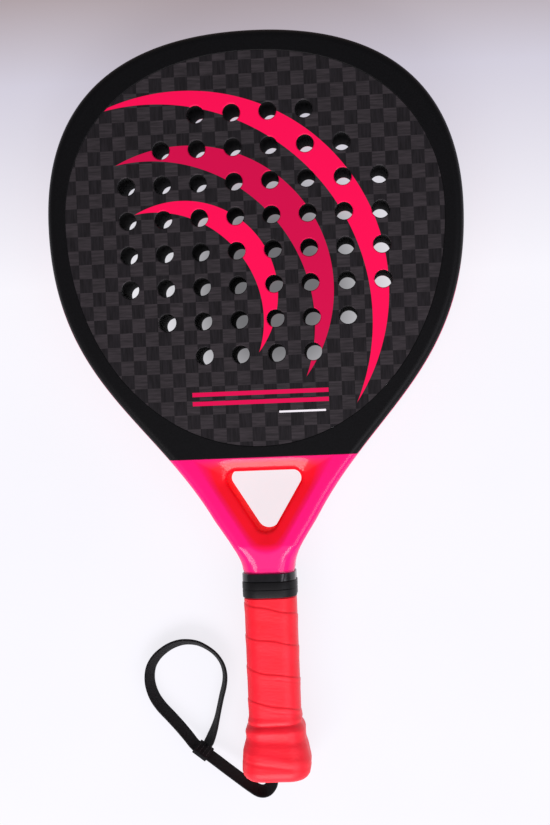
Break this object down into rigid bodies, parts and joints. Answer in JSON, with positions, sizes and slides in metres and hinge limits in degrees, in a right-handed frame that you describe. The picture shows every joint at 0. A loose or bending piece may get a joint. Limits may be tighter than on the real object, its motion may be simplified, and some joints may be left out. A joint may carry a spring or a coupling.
{
  "type": "padel racket",
  "caption": "Perforated teardrop padel racket with a carbon frame, foam core and woven carbon faces, an open throat, a wrapped grip and a wrist strap with a sliding keeper.",
  "frame": {"origin": "on the surface the racket lies on, under the middle of its bounding box, the strap left out", "axes": "+X across the head to its right seen from the front, +Y from the handle to the top of the head, +Z out of the front face"},
  "size_m": [0.2518, 0.4682, 0.038],
  "materials": {
    "frame_paint": "satin black lacquer on the carbon frame",
    "throat_paint": "glossy magenta-pink lacquer",
    "face_carbon": "spread-tow carbon checker under satin resin",
    "eva_foam": "black EVA foam, matte",
    "handle_foam": "cream polyurethane foam",
    "handle_laminate": "bare carbon laminate",
    "base_grip_tape": "black foam-backed tape",
    "overgrip_tape": "coral red overgrip, soft and slightly tacky",
    "finishing_tape": "black vinyl tape",
    "collar_rubber": "black rubber ring",
    "cap_plastic": "moulded black plastic",
    "pin_steel": "plain steel pin",
    "strap_webbing": "black woven polyester webbing"
  },
  "bodies": {
    "racket": {"frame_tube": "frame_paint", "throat_bridge": "throat_paint", "foam_core": "eva_foam", "front_face_skin": "face_carbon", "rear_face_skin": "face_carbon", "handle_filler": "handle_foam", "handle_sleeve": "handle_laminate", "base_grip": "base_grip_tape", "overgrip": "overgrip_tape", "finishing_tape": "finishing_tape", "rubber_collar": "collar_rubber", "butt_cap": "cap_plastic", "strap_anchor": "pin_steel", "wrist_strap": "strap_webbing", "wrist_strap_return": "strap_webbing"},
    "keeper": {"strap_keeper": "strap_webbing"}
  },
  "joints": [
    {"name": "keeper_slide", "type": "slide", "parent": "racket", "child": "keeper", "axis": [0.7976, -0.5964, 0.0898], "range_m": [0, 0.016]}
  ]
}
